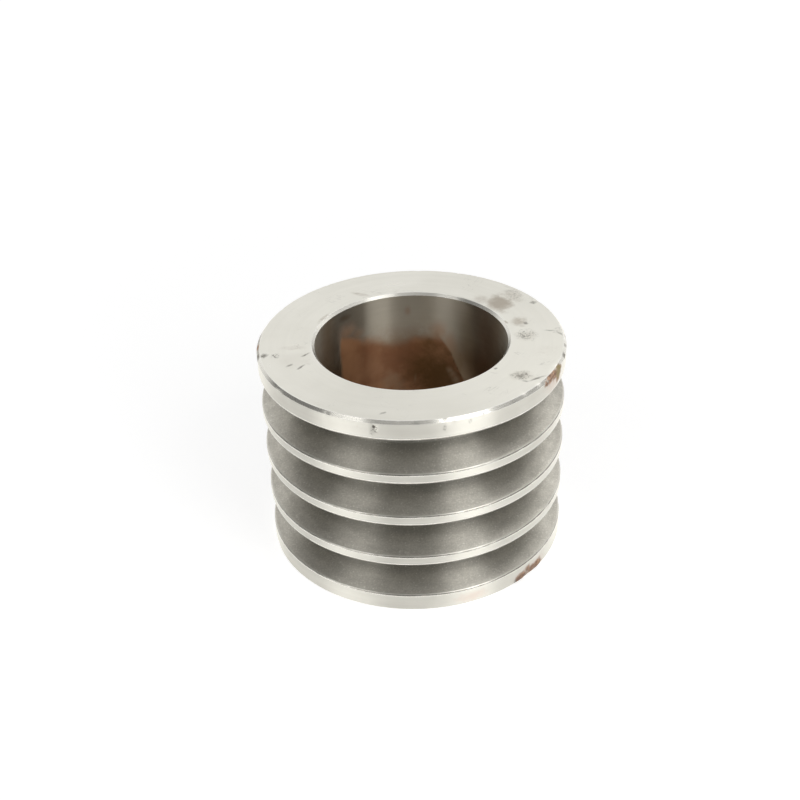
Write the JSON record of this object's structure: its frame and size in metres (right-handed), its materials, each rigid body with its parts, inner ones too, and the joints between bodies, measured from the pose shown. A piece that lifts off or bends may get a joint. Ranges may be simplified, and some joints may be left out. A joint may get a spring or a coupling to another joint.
{
  "type": "tensioner pulley",
  "caption": "Bare multi-groove V-belt tensioner pulley turned from one piece of steel, with thick end flanges, thin ribs and a plain through bore for bearings.",
  "frame": {"origin": "centre of the lower end face, on the axis of the bore", "axes": "+Z along the bore axis, up as the pulley stands; +X and +Y are any two directions across it, and the picture is taken from the -Y side"},
  "size_m": [0.121, 0.121, 0.0875],
  "materials": {
    "turned_steel": "bare lathe-turned steel with fine tool marks, light smudges, small nicks and thin rust stains"
  },
  "bodies": {
    "root": {"pulley": "turned_steel"}
  },
  "joints": []
}
